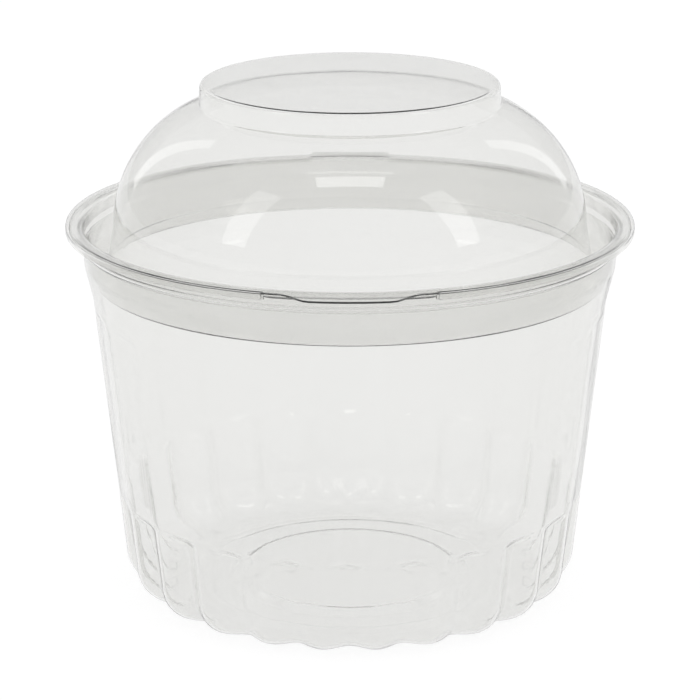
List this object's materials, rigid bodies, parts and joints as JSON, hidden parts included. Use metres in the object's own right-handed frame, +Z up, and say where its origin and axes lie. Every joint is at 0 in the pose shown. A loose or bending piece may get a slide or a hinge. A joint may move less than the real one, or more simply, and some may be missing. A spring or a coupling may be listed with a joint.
{
  "type": "plastic bowl with lid",
  "caption": "Clear thermoformed food bowl with fluted wall, scalloped foot and a domed lid hinged at the back of the rim",
  "frame": {"origin": "centre of the face that the bowl stands on, on the bowl's axis", "axes": "+Z up along the bowl's axis; -Y towards the lift tab at the front; +Y towards the film hinge at the back; +X to the right seen from the front"},
  "size_m": [0.122, 0.1285, 0.1123],
  "materials": {
    "bowl_sheet": "clear glossy thermoformed PET sheet",
    "lid_sheet": "clear glossy thermoformed PET sheet"
  },
  "bodies": {
    "bowl": {"bowl": "bowl_sheet"},
    "lid": {"lid": "lid_sheet"}
  },
  "joints": [
    {"name": "lid_hinge", "type": "hinge", "parent": "bowl", "child": "lid", "pos_m": [0, 0.0634, 0.08225], "axis": [-1, 0, 0], "range_deg": [0, 180]}
  ]
}
